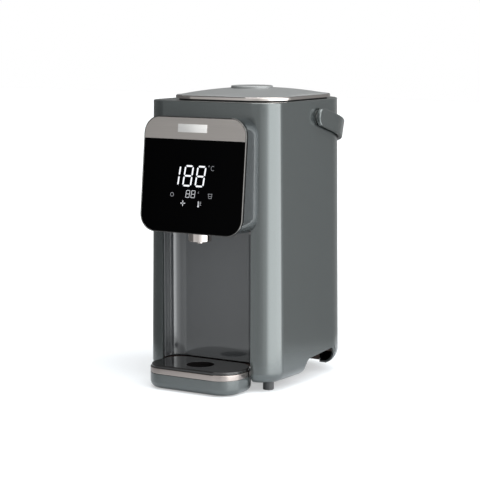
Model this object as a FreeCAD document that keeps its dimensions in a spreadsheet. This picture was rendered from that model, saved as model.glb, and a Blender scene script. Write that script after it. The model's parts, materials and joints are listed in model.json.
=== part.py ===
import FreeCAD, Part
import math
import os
import re
import Sketcher

# Electric thermo pot: a tall rounded-square housing with a dispensing bay, a raised control head,
# a drip tray that slides out, a lift-off lid and a carrying strap that stows at the back.
# Frame: +Z up, front is -Y, the rest plane is Z = 0, millimetres.

V = FreeCAD.Vector
DOC = FreeCAD.newDocument("thermo_pot")
SHEET = DOC.addObject("Spreadsheet::Sheet", "Sizes")

SIZES = {
    # Every piece is drawn about the housing's own axis; this puts the whole object about Y = 0.
    "assembly_shift": 17.2,
    # Housing plan at floor level, and how it narrows upwards
    "body_half_width": 91.4,
    "body_half_depth": 103.8,
    "front_corner": 30.2,
    "rear_corner": 63.2,
    "side_taper": 0.54,
    "wall": 2.5,
    "base_bottom": 10.5,
    "seam_height": 22.6,
    "collar_bottom": 335.4,
    "body_top": 340.0,
    "rear_roll": 17.0,
    "skirt_roll": 11.0,
    "skirt_inset": 0.4,
    "rim_width": 22.0,
    # Hand-hold arch in the lower side edge
    "arch_front": -34.0,
    "arch_rise_end": -12.0,
    "arch_top": 36.5,
    "arch_back": 49.0,
    "arch_trim": 4.0,
    "leg_wall_y": 65.0,
    # Hollow behind each hand-hold, closed off from the inside of the housing
    "recess_inner": 62.0,
    "recess_front": -40.0,
    "recess_back": 62.0,
    "recess_top": 41.5,
    # Dispensing bay
    "bay_half_width": 62.6,
    "bay_back": -75.8,
    "bay_corner": 18.2,
    "bay_top": 196.0,
    "bay_bottom": 29.6,
    "liner_wall": 2.0,
    # Control head
    "head_half_width": 71.2,
    "head_bottom": 187.6,
    "head_height": 136.5,
    "head_corner": 21.0,
    "head_tilt": 5.74,
    "head_front_low": -137.85,
    "head_wall": 2.5,
    "strip_height": 26.6,
    "glass_thick": 3.0,
    "bezel_width": 1.3,
    "shadow_gap": 1.5,
    # Nozzle
    "nozzle_y": -115.0,
    "nozzle_bottom": 177.0,
    "nozzle_radius": 14.0,
    "tip_bottom": 174.5,
    "tip_radius": 3.0,
    # Drip tray
    "tray_half_width": 61.5,
    "tray_front": -147.5,
    "tray_back": -80.0,
    "tray_front_corner": 25.0,
    "tray_back_corner": 28.0,
    "tray_bottom": 0.5,
    "tray_band_bottom": 18.6,
    "tray_top": 25.5,
    "cover_top": 29.0,
    "cover_edge": 1.4,
    "tray_wall": 2.2,
    "tray_edge": 8.0,
    "drain_radius": 16.5,
    # Inner pot and its opening
    "pot_y": 19.0,
    "pot_radius": 66.0,
    "pot_wall": 1.0,
    "pot_bottom": 78.0,
    "pot_rim": 334.2,
    "jacket_radius": 71.0,
    "mouth_radius": 64.0,
    # Lid
    "lid_half_width": 78.0,
    "lid_front": -77.0,
    "lid_back": 90.0,
    "lid_front_corner": 40.0,
    "lid_back_corner": 45.0,
    "lid_ring_bottom": 341.2,
    "lid_ring_top": 345.0,
    "dome_top": 353.4,
    "dome_radius": 750.0,
    "dome_edge": 1.6,
    "knob_y": 1.0,
    "knob_radius": 25.5,
    "knob_top": 355.5,
    # Carrying strap
    "strap_half_inner": 90.6,
    "strap_thick": 5.0,
    "strap_corner": 66.0,
    "strap_height": 22.0,
    "strap_slope": 16.0,
    "strap_reach": 97.0,
    "pivot_y": 12.0,
    "pivot_z": 319.3,
    "pin_radius": 4.0,
    "pin_clearance": 0.05,
    "pin_hold": 3.2,
    "bore_depth": 3.5,
    "washer_thick": 1.2,
    # Feet and the screws of the base
    "foot_radius": 6.5,
    "front_foot_x": 71.0,
    "front_foot_y": -76.0,
    "rear_foot_x": 28.0,
    "rear_foot_y": 75.0,
    "screw_x": 56.0,
    "screw_front": -47.0,
    "screw_back": 56.0,
    "screw_head": 1.6,
    # Pump and tubing
    "pump_x": 38.0,
    "pump_y": -15.0,
    "pump_radius": 19.0,
    "motor_radius": 14.0,
    "shaft_radius": 2.0,
    "hose_radius": 4.5,
    "hose_bore": 3.0,
    "hose_bend": 14.0,
    "riser_x": 75.0,
    "riser_y": -68.0,
    "riser_top": 262.0,
    # Circuit board and mains inlet
    "board_x": -59.0,
    "board_y": -30.0,
    "board_z": 34.0,
    "board_length": 56.0,
    "board_depth": 44.0,
    "board_thick": 1.6,
    "board_margin": 4.0,
    "inlet_width": 25.6,
    "inlet_low": 55.2,
    "inlet_height": 21.6,
    "inlet_back": 103.35,
    "inlet_wall": 2.3,
    "inlet_lip": 3.2,
    "inlet_well_front": 90.0,
    "plate_bottom": 24.0,
    "plate_thick": 3.0,
}


def fill_sheet():
    for row, (alias, value) in enumerate(SIZES.items(), start=1):
        SHEET.set(f"A{row}", alias)
        SHEET.set(f"B{row}", str(value))
        SHEET.setAlias(f"B{row}", alias)
    DOC.recompute()


def size(alias):
    return float(getattr(SHEET, alias))


RECKONER = DOC.addObject("App::FeaturePython", "Reckoner")
RECKONER.addProperty("App::PropertyFloat", "result")


def reckon(text):
    """What an expression over the sheet comes to now, so that a sketch starts near its answer."""
    bind(RECKONER, "result", str(text))
    RECKONER.recompute()
    return RECKONER.result


def bind(obj, prop, text):
    """Bind a property to an expression in which sheet names are written plainly."""
    def named(match):
        word = match.group()
        return "Sizes." + word if word in SIZES else word

    obj.setExpression(prop, re.sub(r"[a-z_]+", named, text))


FINISHED = []


def finish(obj, label):
    """Name a finished sub-part and move it from the housing's axis into the assembly."""
    obj.Label = label
    placed = dict(obj.ExpressionEngine).get(".Placement.Base.y")
    shift = "Sizes.assembly_shift"
    obj.setExpression(".Placement.Base.y", f"({placed}) + {shift}" if placed else shift)
    FINISHED.append(obj)
    return obj


# Part primitives bound to the sheet

def place(obj, x="0", y="0", z="0"):
    for axis, text in (("x", x), ("y", y), ("z", z)):
        bind(obj, ".Placement.Base." + axis, str(text))
    return obj


def box(name, length, width, height, x, y, z):
    obj = DOC.addObject("Part::Box", name)
    bind(obj, "Length", str(length))
    bind(obj, "Width", str(width))
    bind(obj, "Height", str(height))
    return place(obj, x, y, z)


def cylinder(name, radius, height, x="0", y="0", z="0", lying=None):
    obj = DOC.addObject("Part::Cylinder", name)
    bind(obj, "Radius", str(radius))
    bind(obj, "Height", str(height))
    turns = {"x": (V(0, 1, 0), 90), "y": (V(1, 0, 0), -90)}
    if lying:
        obj.Placement = FreeCAD.Placement(V(), FreeCAD.Rotation(*turns[lying]))
    return place(obj, x, y, z)


def cut(name, base, *tools):
    obj = DOC.addObject("Part::Cut", name)
    obj.Base = base
    obj.Tool = tools[0] if len(tools) == 1 else group(name + "_tools", tools)
    return obj


def group(name, members):
    obj = DOC.addObject("Part::MultiFuse", name)
    obj.Shapes = list(members)
    return obj


def overlap(name, first, second):
    obj = DOC.addObject("Part::Common", name)
    obj.Base = first
    obj.Tool = second
    return obj


def bundle(name, members):
    """Several separate solids kept as one piece, such as a set of screws."""
    obj = DOC.addObject("Part::Compound", name)
    obj.Links = list(members)
    return obj


def ring(name, outer, inner, height, x="0", y="0", z="0"):
    """A round ring or tube standing on its own axis."""
    return cut(
        name,
        cylinder(name + "_outside", outer, height, x, y, z),
        cylinder(name + "_bore", inner, f"{height} + 2", x, y, f"{z} - 1"),
    )


def cup(name, outer, wall, floor, height, x, y, z):
    """A round cup that opens upwards."""
    return cut(
        name,
        cylinder(name + "_outside", outer, height, x, y, z),
        cylinder(name + "_hollow", f"{outer} - {wall}", height, x, y, f"{z} + {floor}"),
    )


def rounded(name, base, radius, chosen):
    """Round the edges of base that chosen accepts."""
    DOC.recompute()
    obj = DOC.addObject("Part::Fillet", name)
    obj.Base = base
    picked = [n for n, edge in enumerate(base.Shape.Edges, start=1) if chosen(edge)]
    obj.Edges = [(n, radius, radius) for n in picked]
    return obj


def lies_at(height):
    return lambda edge: edge.BoundBox.ZLength < 0.01 and abs(edge.BoundBox.ZMin - height) < 0.01


# Sketches and bodies

def origin_plane(body, role):
    return next(f for f in body.Origin.OriginFeatures if f.Role == role)


def new_body(name):
    return DOC.addObject("PartDesign::Body", name)


def new_sketch(body, name, role="XY_Plane", height="0"):
    sketch = body.newObject("Sketcher::SketchObject", name)
    sketch.AttachmentSupport = [(origin_plane(body, role), "")]
    sketch.MapMode = "FlatFace"
    bind(sketch, ".AttachmentOffset.Base.z", str(height))
    return sketch


def constrain(sketch, name, constraint, text):
    index = sketch.addConstraint(constraint)
    sketch.renameConstraint(index, name)
    bind(sketch, "Constraints." + name, text)


def rounded_outline(sketch, half_width, low, high, low_corner, high_corner):
    """A rectangle about the sketch's Y axis, with one radius at its low and one at its high corners.

    low and high are the distances of the two ends below and above the sketch's origin.
    """
    right, bottom, top = reckon(half_width), -reckon(low), reckon(high)
    under_radius, over_radius = reckon(low_corner), reckon(high_corner)
    up = V(0, 0, 1)

    def line(x0, y0, x1, y1):
        return Part.LineSegment(V(x0, y0, 0), V(x1, y1, 0))

    def arc(x, y, radius, quarter):
        circle = Part.Circle(V(x, y, 0), up, radius)
        return Part.ArcOfCircle(circle, quarter * math.pi / 2, (quarter + 1) * math.pi / 2)

    near, far = right - under_radius, right - over_radius
    under, over = bottom + under_radius, top - over_radius
    sketch.addGeometry([
        line(-near, bottom, near, bottom), arc(near, under, under_radius, -1),
        line(right, under, right, over), arc(far, over, over_radius, 0),
        line(far, top, -far, top), arc(-far, over, over_radius, 1),
        line(-right, over, -right, under), arc(-near, under, under_radius, 2),
    ], False)
    rule = Sketcher.Constraint
    for side in range(8):
        sketch.addConstraint(rule("Tangent", side, 2, (side + 1) % 8, 1))
    sketch.addConstraint([
        rule("Horizontal", 0), rule("Horizontal", 4), rule("Vertical", 2), rule("Vertical", 6),
        rule("Equal", 1, 7), rule("Equal", 3, 5),
    ])
    constrain(sketch, "low_corner", rule("Radius", 1, under_radius), low_corner)
    constrain(sketch, "high_corner", rule("Radius", 3, over_radius), high_corner)
    constrain(sketch, "right_side", rule("DistanceX", -1, 1, 2, 1, right), half_width)
    constrain(sketch, "left_side", rule("DistanceX", 6, 1, -1, 1, right), half_width)
    constrain(sketch, "low_end", rule("DistanceY", 0, 1, -1, 1, -bottom), low)
    constrain(sketch, "high_end", rule("DistanceY", -1, 1, 4, 1, top), high)
    return sketch


def pad(body, sketch, length, taper=None, reverse=False):
    feature = body.newObject("PartDesign::Pad", sketch.Name + "_pad")
    feature.Profile = sketch
    feature.Reversed = reverse
    bind(feature, "Length", length)
    if taper:
        bind(feature, "TaperAngle", taper)
    return feature


def pocket(body, sketch, depth, reverse=False):
    """Cut a sketch into its body and make sure that it removed something."""
    DOC.recompute()
    before = body.Shape.Volume
    feature = body.newObject("PartDesign::Pocket", sketch.Name + "_pocket")
    feature.Profile = sketch
    feature.Reversed = reverse
    bind(feature, "Length", depth)
    DOC.recompute()
    if body.Shape.Volume > before - 1:
        raise RuntimeError(feature.Name + " removed nothing")
    return feature


def slab(name, half_width, low, high, low_corner, high_corner, bottom, height):
    """A flat rounded plate lying between two heights."""
    body = new_body(name)
    sketch = new_sketch(body, name + "_plan", height=bottom)
    rounded_outline(sketch, half_width, low, high, low_corner, high_corner)
    pad(body, sketch, height)
    return body


def housing_form(name, bottom, top, inset="0"):
    """The housing's plan, narrowing upwards, between two heights, drawn in by inset."""
    body = new_body(name)
    sketch = new_sketch(body, name + "_plan", height=bottom)
    drawn_in = f"({inset}) + ({bottom}) * tan(side_taper)"
    rounded_outline(
        sketch,
        f"body_half_width - ({drawn_in})",
        f"body_half_depth - ({drawn_in})",
        f"body_half_depth - ({drawn_in})",
        f"front_corner - ({drawn_in})",
        f"rear_corner - ({drawn_in})",
    )
    pad(body, sketch, f"( {top} ) - ( {bottom} )", taper="0 - side_taper")
    return body


# Housing

def arch_profile(name, trim):
    """A bar across the housing whose section is the hand-hold arch, raised by trim."""
    low = size("base_bottom") + (size("seam_height") - size("base_bottom")) * (trim > 0)
    top = size("arch_top") - size("arch_trim") + trim
    front = size("arch_front") - 2 * trim
    rise_end = size("arch_rise_end") - trim
    back = size("arch_back") + trim
    half_bar = 120.0
    ground = -5.0
    crown_back = back - 9.0
    middle = ((front + rise_end) / 2, (low + top - 4) / 2)
    edges = [
        Part.LineSegment(V(0, front, ground), V(0, front, low)),
        Part.Arc(V(0, front, low), V(0, front + 7, low + 2.2), V(0, middle[0], middle[1])),
        Part.Arc(
            V(0, middle[0], middle[1]), V(0, rise_end - 5.5, top - 6.6), V(0, rise_end, top - 4)
        ),
        Part.LineSegment(V(0, rise_end, top - 4), V(0, crown_back, top)),
        Part.Arc(V(0, crown_back, top), V(0, back - 2.2, top - 3), V(0, back, top - 9)),
        Part.LineSegment(V(0, back, top - 9), V(0, back, ground)),
        Part.LineSegment(V(0, back, ground), V(0, front, ground)),
    ]
    face = Part.Face(Part.Wire([edge.toShape() for edge in edges]))
    bar = face.extrude(V(2 * half_bar, 0, 0))
    bar.translate(V(-half_bar, 0, 0))
    obj = DOC.addObject("Part::Feature", name)
    obj.Shape = bar
    return obj


def rolled_form(name, bottom, inset, rear_roll, front_roll=0):
    """The housing's form with its lower edge rolled under, by its own radius front and rear."""
    half = 200
    halves = []
    for end, roll, start in (("rear", rear_roll, "arch_back - 0.5"),
                             ("front", front_roll, f"arch_back - 0.5 - {half}")):
        form = housing_form(f"{name}_{end}_form", bottom, "collar_bottom", inset)
        if roll:
            form = rounded(f"{name}_{end}_soft", form, roll, lies_at(reckon(bottom)))
        zone = box(f"{name}_{end}_zone", 2 * half, half, 2 * half, -half, start, -20)
        halves.append(overlap(f"{name}_{end}", form, zone))
    return group(name, halves)


def bay_box(name, widen="0", low="-20", high="bay_top"):
    """The bay's plan as a block from well in front of the housing to the bay's back wall."""
    return slab(
        name, f"bay_half_width + ({widen})", "200", f"bay_back + ({widen})",
        "5", f"bay_corner + ({widen})", low, f"{high} - ({low})",
    )


def make_outer_shell():
    outside = rolled_form("shell_outside", "base_bottom", "0", size("rear_roll"))
    inside = rolled_form("shell_inside", "base_bottom + 2.5", "wall",
                         size("rear_roll") - size("wall"))
    crown = housing_form("shell_crown", "300", "collar_bottom + 1", "wall")
    hollow = cut("shell_hollow", outside, inside, crown)
    below_seam = box("shell_below_seam", 400, "arch_back + 200", "seam_height + 50",
                     -200, -200, -50)
    floor_opening = housing_form("shell_floor_opening", "0", "30", "rim_width")
    bay = box("shell_bay_opening", "2 * bay_half_width", "60", "bay_top + 42",
              "0 - bay_half_width", -130, -40)
    duct = box("shell_duct_opening", 60, 40, 90, -30, -120, 215)
    pins = cylinder("shell_pin_hole", "pin_radius", 260, -130, "pivot_y", "pivot_z", "x")
    socket = box("shell_inlet_opening", 26, 30, 22, -13, 85, 55)
    shell = cut("outer_shell_cut", hollow, below_seam, arch_profile("shell_arch", 4.0),
                floor_opening, bay, duct, pins, socket)
    finish(shell, "outer_shell")


def make_base_skirt():
    roll, rear_roll, wall = size("skirt_roll"), size("rear_roll"), size("wall")
    outside = rolled_form("skirt_outside", "base_bottom", "skirt_inset", rear_roll, roll)
    inside = rolled_form("skirt_inside", "base_bottom + wall", "skirt_inset + wall",
                         rear_roll - wall, roll - wall)
    band = cut("skirt_band", outside, inside)
    edge = arch_profile("skirt_edge", 0.0)
    above = box("skirt_above", 400, "200 + arch_front - 2 * arch_trim", 60,
                -200, -200, "seam_height")
    keep = overlap("skirt_keep", band, skirt_zone())
    front = box("skirt_tray_opening", "2 * bay_half_width", 90, 80, "0 - bay_half_width",
                "bay_back - 90", -20)
    floor_opening = housing_form("skirt_floor_opening", "0", "30", "skirt_roll + 2")
    finish(cut("base_skirt_cut", keep, edge, above, front, floor_opening), "base_skirt")


def skirt_zone():
    """What the shell leaves free for the skirt: below the seam in front, and inside the arch."""
    low_front = box("skirt_zone_front", 400, "200 + arch_front", "seam_height + 20",
                    -200, -200, -20)
    return group("skirt_zone", [low_front, arch_profile("skirt_zone_arch", 4.0)])


def recess_zone(name, drawn_in):
    """The room behind both hand-holds, drawn in from its walls."""
    reach = 60
    return bundle(name, [
        box(f"{name}_{side}", reach, f"recess_back - recess_front - 2 * ( {drawn_in} )", 200,
            mirrored(side, f"recess_inner + {drawn_in}", f"recess_inner + {drawn_in} + {reach}"),
            f"recess_front + {drawn_in}", -20)
        for side in (-1, 1)
    ])


def mirrored(side, low, high):
    """Where a span from low to high, counted outwards from the middle, starts on a side."""
    return low if side > 0 else f"0 - ( {high} )"


def make_base_plate():
    plate = housing_form("plate_form", "plate_bottom", "plate_bottom + plate_thick", "wall + 1.0")
    notch = box("plate_notch", "2 * bay_half_width + 1", 120, 60, "0 - bay_half_width - 0.5",
                "bay_back - 119", 0)
    front_posts = [
        cylinder(f"plate_post_{side}", "foot_radius + 0.5", "plate_bottom - base_bottom + 1",
                 f"{side} * front_foot_x", "front_foot_y", "base_bottom")
        for side in (-1, 1)
    ]
    recess_walls = overlap(
        "recess_walls", recess_zone("recess_outside", "0"),
        housing_form("recess_form", "plate_bottom", "recess_top", "wall + 1.0"),
    )
    recess_hollow = overlap(
        "recess_hollow", recess_zone("recess_inside", "wall"),
        housing_form("recess_room", "0", "recess_top - wall", "0 - 1"),
    )
    leg_zone = box("leg_zone", 400, 200, 200, -200, "leg_wall_y", -20)
    inner_zone = box("leg_inner_zone", 400, 200, 200, -200, "leg_wall_y + wall", -20)
    leg_outside = overlap(
        "leg_outside", leg_zone,
        housing_form("leg_form", "base_bottom", "plate_bottom + 1", "rim_width + 0.4"),
    )
    leg_inside = overlap(
        "leg_inside", inner_zone,
        housing_form("leg_hollow", "base_bottom + wall", "plate_bottom + plate_thick + 5",
                     "rim_width + 0.4 + wall"),
    )
    leg = cut("leg_pan", leg_outside, leg_inside)
    stepped = group("plate_stepped", [plate, recess_walls])
    opened = cut("plate_opened", stepped, notch, leg_inside, recess_hollow)
    whole = group("plate_whole", [opened, leg] + front_posts)
    screw_holes = [
        cylinder(f"plate_screw_hole_{n}", 1.6, 40, x, y, 0)
        for n, (x, y) in enumerate(screw_places())
    ]
    finish(cut("base_plate_cut", whole, *screw_holes), "base_plate")


def screw_places():
    return [(f"{side} * screw_x", y) for y in ("screw_front", "screw_back") for side in (-1, 1)]


def make_base_screws():
    screws = []
    for n, (x, y) in enumerate(screw_places()):
        head = cylinder(f"base_screw_head_{n}", 3.0, "screw_head", x, y,
                        "plate_bottom - screw_head")
        shank = cylinder(f"base_screw_shank_{n}", 1.5, 9, x, y, "plate_bottom - 1")
        screws.append(group(f"base_screw_{n}", [head, shank]))
    finish(bundle("base_screws_set", screws), "base_screws")


def make_feet():
    for end, radius in (("front", "foot_radius"), ("rear", "foot_radius + 1")):
        pads = [
            cylinder(f"{end}_foot_{side}", radius, "base_bottom",
                     f"{side} * {end}_foot_x", f"{end}_foot_y", 0)
            for side in (-1, 1)
        ]
        finish(bundle(f"{end}_feet_set", pads), f"{end}_feet")


def make_top_collar():
    ring_form = rounded("collar_soft", housing_form("collar_form", "collar_bottom", "body_top"),
                        1.4, lies_at(size("body_top")))
    mouth = cylinder("collar_mouth", "mouth_radius", 40, 0, "pot_y", 320)
    finish(cut("top_collar_cut", ring_form, mouth), "top_collar")


def make_bay_liner():
    outside = bay_box("liner_outside", "0 - 0.2", "bay_bottom", "bay_top")
    inside = bay_box("liner_inside", "0 - 0.2 - liner_wall", "bay_bottom - 1",
                     "bay_top - liner_wall")
    front_edge = -100.5
    ahead = box("liner_ahead", 400, 300, 400, -200, front_edge - 300, 0)
    finish(cut("bay_liner_cut", outside, inside, ahead), "bay_liner")


# Control head

def tilted(obj):
    """Stand a piece that is drawn on the upright plane against the tilted panel plane."""
    turn = FreeCAD.Rotation(V(1, 0, 0), -size("head_tilt"))
    obj.Placement = FreeCAD.Placement(V(), turn)
    place(obj, "0", "head_front_low", "head_bottom")
    return obj


def panel_plate(name, inset, behind, thick):
    """A rounded plate drawn upright, its front face a distance behind the panel's front."""
    body = new_body(name)
    sketch = new_sketch(body, name + "_face", "XZ_Plane", f"0 - ( {behind} )")
    rounded_outline(sketch, f"head_half_width - ({inset})", f"0 - ({inset})",
                    f"head_height - ({inset})", f"head_corner - ({inset})",
                    f"head_corner - ({inset})")
    pad(body, sketch, thick, reverse=True)
    return body


def panel_band(name, low, high):
    """A block across the panel between two heights above its lower edge."""
    return box(name, 300, 60, f"{high} - ( {low} )", -150, -20, low)


def make_panel():
    bezel = cut("bezel_ring", panel_plate("bezel_outside", "0", "0", "glass_thick + 0.2"),
                panel_plate("bezel_hollow", "bezel_width", "0 - 1", "8"))
    finish(tilted(bezel), "panel_bezel")
    split = "head_height - strip_height"
    glass = overlap("glass_low", panel_plate("glass_face", "bezel_width + 0.05", "0.2",
                                             "glass_thick"),
                    panel_band("glass_zone", "-20", split))
    finish(tilted(glass), "panel_glass")
    strip = overlap("strip_top", panel_plate("strip_face", "bezel_width + 0.05", "0.1",
                                             "glass_thick"),
                    panel_band("strip_zone", f"{split} + 0.05", "head_height + 20"))
    finish(tilted(strip), "panel_strip")
    carrier = panel_plate("carrier_face", "head_wall + 1.0", "glass_thick + 0.2", "3.5")
    window = box("carrier_window", 84, 30, 62, -42, -10, 30)
    finish(tilted(cut("carrier_cut", carrier, window)), "panel_carrier")
    board = box("board_block", 96, 1.6, 74, -48, "glass_thick + 6", 24)
    finish(tilted(bundle("board_set", [board])), "display_board")
    module = box("module_block", 62, 2.6, 44, -31, "glass_thick + 3.3", 38)
    finish(tilted(bundle("module_set", [module])), "display_module")


def cowl_prism(name, inset):
    body = new_body(name)
    sketch = new_sketch(body, name + "_face", "XZ_Plane", "90")
    rounded_outline(sketch, f"head_half_width - {inset}", f"0 - head_bottom - {inset}",
                    f"head_bottom + head_height - 0.8 - {inset}",
                    f"head_corner - {inset}", f"head_corner - {inset}")
    pad(body, sketch, "60")
    return body


def make_head_cowl():
    hollow = cut("cowl_tube", cowl_prism("cowl_outside", "0"),
                 cowl_prism("cowl_inside", "head_wall"))
    ahead = tilted(box("cowl_ahead", 400, 100, 400, -200, 0, 0))
    bind(ahead, ".Placement.Base.x", "-200")
    bind(ahead, ".Placement.Base.y",
         "head_front_low + glass_thick + shadow_gap - 100 * cos( head_tilt ) - 7")
    bind(ahead, ".Placement.Base.z", "head_bottom + 100 * sin( head_tilt ) - 70")
    behind = housing_form("cowl_behind", "base_bottom", "body_top", "0 - 0.05")
    sleeve_hole = cylinder("cowl_nozzle_hole", "nozzle_radius + 0.3", 20, 0, "nozzle_y", 180)
    finish(cut("head_cowl_cut", hollow, ahead, behind, sleeve_hole), "head_cowl")


def make_nozzle():
    sleeve = cut(
        "sleeve_cut",
        group("sleeve_whole", [
            cylinder("sleeve_barrel", "nozzle_radius", 17, 0, "nozzle_y", "nozzle_bottom"),
            cylinder("sleeve_flange", "nozzle_radius + 1.5", 2, 0, "nozzle_y", "head_bottom + 2.6"),
        ]),
        cylinder("sleeve_bore", "tip_radius + 1.5", 30, 0, "nozzle_y", "nozzle_bottom - 5"),
        cylinder("sleeve_mouth", "nozzle_radius - 2", 6, 0, "nozzle_y", "nozzle_bottom - 1"),
    )
    finish(sleeve, "nozzle_sleeve")
    tip = cut(
        "tip_cut",
        cylinder("tip_barrel", "tip_radius + 1.5", 19, 0, "nozzle_y", "tip_bottom"),
        cylinder("tip_bore", "tip_radius - 1", 30, 0, "nozzle_y", "tip_bottom - 5"),
    )
    finish(tip, "nozzle_tip")


# Drip tray

def tray_slab(name, inset, bottom, height):
    return slab(name, f"tray_half_width - ({inset})", f"0 - tray_front - ({inset})",
                f"tray_back - ({inset})", f"tray_front_corner - ({inset})",
                f"max(tray_back_corner - ({inset}); 2)", bottom, height)


def make_tray():
    outside = rounded("tray_soft", tray_slab("tray_outside", "0", "tray_bottom",
                                             "tray_band_bottom - tray_bottom"),
                      size("tray_edge"), lies_at(size("tray_bottom")))
    inside = tray_slab("tray_inside", "tray_wall + 3", "tray_bottom + 2.5", "40")
    finish(cut("tray_body_cut", outside, inside), "tray_body")
    band = cut("band_ring", tray_slab("band_outside", "0", "tray_band_bottom",
                                      "tray_top - tray_band_bottom"),
               tray_slab("band_inside", "tray_wall", "tray_band_bottom - 1", "20"))
    finish(band, "tray_band")
    ledge = cut("ledge_ring", tray_slab("ledge_outside", "tray_wall + 0.1", "tray_band_bottom",
                                        "4.0 - 0.1"),
                tray_slab("ledge_inside", "tray_wall + 3", "tray_band_bottom - 1", "20"))
    finish(ledge, "tray_ledge")
    top = rounded("cover_soft", tray_slab("cover_top_form", "1.6", "tray_top + 0.05",
                                          "cover_top - tray_top - 0.05"),
                  size("cover_edge"), lies_at(size("cover_top")))
    lip = tray_slab("cover_lip", "tray_wall + 0.4", "tray_top - 2.9", "2.9 + 0.5")
    drain = cylinder("cover_drain", "drain_radius", 30, 0, "nozzle_y", 10)
    finish(cut("tray_cover_cut", group("cover_whole", [top, lip]), drain), "tray_cover")


# Inner pot, heater and pump

def make_pot():
    body = cup("pot_cup", "pot_radius", "pot_wall", "pot_wall", "pot_rim - pot_bottom",
               "0", "pot_y", "pot_bottom")
    rim = ring("pot_rim_ring", "pot_radius + 4", "pot_radius - pot_wall", "0.8",
               "0", "pot_y", "pot_rim")
    outlet = cylinder("pot_outlet", 3.6, 20, "pump_x", "pump_y", "pot_bottom - 10")
    finish(cut("inner_pot_cut", group("pot_whole", [body, rim]), outlet), "inner_pot")
    finish(ring("jacket_ring", "jacket_radius", "pot_radius + 0.8",
                "pot_rim - pot_bottom - 4", "0", "pot_y", "pot_bottom"), "insulation_jacket")
    finish(ring("heater_disc_ring", "44", "9", "6", "0", "pot_y + 6", "pot_bottom - 6.2"),
           "heater_disc")
    finish(cylinder("thermostat_can", 8, 9, 22, "pot_y + 24", "pot_bottom - 15.4"), "thermostat")
    finish(cylinder("sensor_can", 4, 12, 0, "pot_y + 6", "pot_bottom - 12.2"),
           "temperature_sensor")
    finish(cut("pot_seal_ring", cylinder("seal_outside", "pot_radius + 4", 0.3, 0, "pot_y",
                                         "pot_rim + 0.85"),
               cylinder("seal_inside", "mouth_radius", 2, 0, "pot_y", "pot_rim")), "pot_seal")


def make_pump():
    motor_low = "plate_bottom + plate_thick + 1"
    finish(ring("motor_can", "motor_radius", "motor_radius - 1.5", "20",
                "pump_x", "pump_y", motor_low), "motor_can")
    housing = cut(
        "pump_housing_cut",
        cylinder("pump_outside", "pump_radius", 14, "pump_x", "pump_y", f"{motor_low} + 20"),
        cylinder("pump_chamber", "pump_radius - 3", 20, "pump_x", "pump_y", f"{motor_low} + 23"),
        cylinder("pump_shaft_hole", "shaft_radius + 0.05", 20, "pump_x", "pump_y",
                 f"{motor_low} + 10"),
    )
    finish(housing, "pump_housing")
    cover = cut(
        "pump_cover_cut",
        group("pump_cover_whole", [
            cylinder("pump_cover_disc", "pump_radius", 3, "pump_x", "pump_y", f"{motor_low} + 34"),
            cylinder("pump_spigot", 3.5, 8, "pump_x", "pump_y", f"{motor_low} + 35"),
        ]),
        cylinder("pump_inlet_bore", 2.2, 30, "pump_x", "pump_y", f"{motor_low} + 30"),
    )
    finish(cover, "pump_cover")
    hub = cylinder("impeller_hub", 5, 7, "pump_x", "pump_y", f"{motor_low} + 25")
    blades = []
    for step in range(6):
        blade = box(f"impeller_blade_{step}", 9, 1.2, 6, 0, 0, 0)
        angle = 60 * step
        blade.Placement = FreeCAD.Placement(V(), FreeCAD.Rotation(V(0, 0, 1), angle))
        reach = 4.5
        place(blade, f"pump_x + {reach * math.cos(math.radians(angle))}",
              f"pump_y + {reach * math.sin(math.radians(angle))}", f"{motor_low} + 25")
        blades.append(blade)
    impeller = cut("impeller_cut", group("impeller_whole", [hub] + blades),
                   cylinder("impeller_bore", "shaft_radius", 36, "pump_x", "pump_y", motor_low))
    finish(impeller, "pump_impeller")
    finish(cylinder("shaft_rod", "shaft_radius", 29, "pump_x", "pump_y", f"{motor_low} + 2"),
           "motor_shaft")
    finish(ring("rotor_ring", "motor_radius - 4", "shaft_radius", "13",
                "pump_x", "pump_y", f"{motor_low} + 3"), "motor_rotor")


def tube(name, points, bend, outer, bore):
    """A hose of straight runs joined by arcs that touch both runs."""
    points = [V(*p) for p in points]
    edges = []
    start = points[0]
    for before, corner, after in zip(points, points[1:], points[2:]):
        back = (before - corner).normalize()
        ahead = (after - corner).normalize()
        turn = math.pi - back.getAngle(ahead)
        reach = bend * math.tan(turn / 2)
        first, last = corner + back * reach, corner + ahead * reach
        inward = (back + ahead).normalize()
        middle = corner + inward * (bend / math.cos(turn / 2) - bend)
        edges.append(Part.LineSegment(start, first).toShape())
        edges.append(Part.Arc(first, middle, last).toShape())
        start = last
    edges.append(Part.LineSegment(start, points[-1]).toShape())
    spine = Part.Wire(edges)
    way = (points[1] - points[0]).normalize()

    def sweep(radius):
        profile = Part.Wire([Part.Circle(points[0], way, radius).toShape()])
        return spine.makePipeShell([profile], True, False)

    obj = DOC.addObject("Part::Feature", name)
    obj.Shape = sweep(outer).cut(sweep(bore))
    return obj


def make_hoses():
    pump_floor = size("plate_bottom") + size("plate_thick")
    inlet_low = pump_floor + 38.2
    finish(ring("inlet_hose_ring", "5", "3.55", f"pot_bottom - 0.1 - {inlet_low}",
                "pump_x", "pump_y", inlet_low), "inlet_hose")
    centre = V(size("pump_x"), size("pump_y"), pump_floor + 28)
    riser_x, riser_y, top = size("riser_x"), size("riser_y"), size("riser_top")
    riser = V(riser_x, riser_y, centre.z)
    away = (riser - centre).normalize()
    start = centre + away * (size("pump_radius") + 0.2)
    nozzle_y = size("nozzle_y")
    nozzle_top = size("tip_bottom") + 19.2
    route = [start, riser, V(riser_x, riser_y, top), V(0, riser_y, top), V(0, nozzle_y, top),
             V(0, nozzle_y, nozzle_top)]
    finish(tube("riser_form", route, size("hose_bend"), size("hose_radius"), size("hose_bore")),
           "riser_hose")


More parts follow.
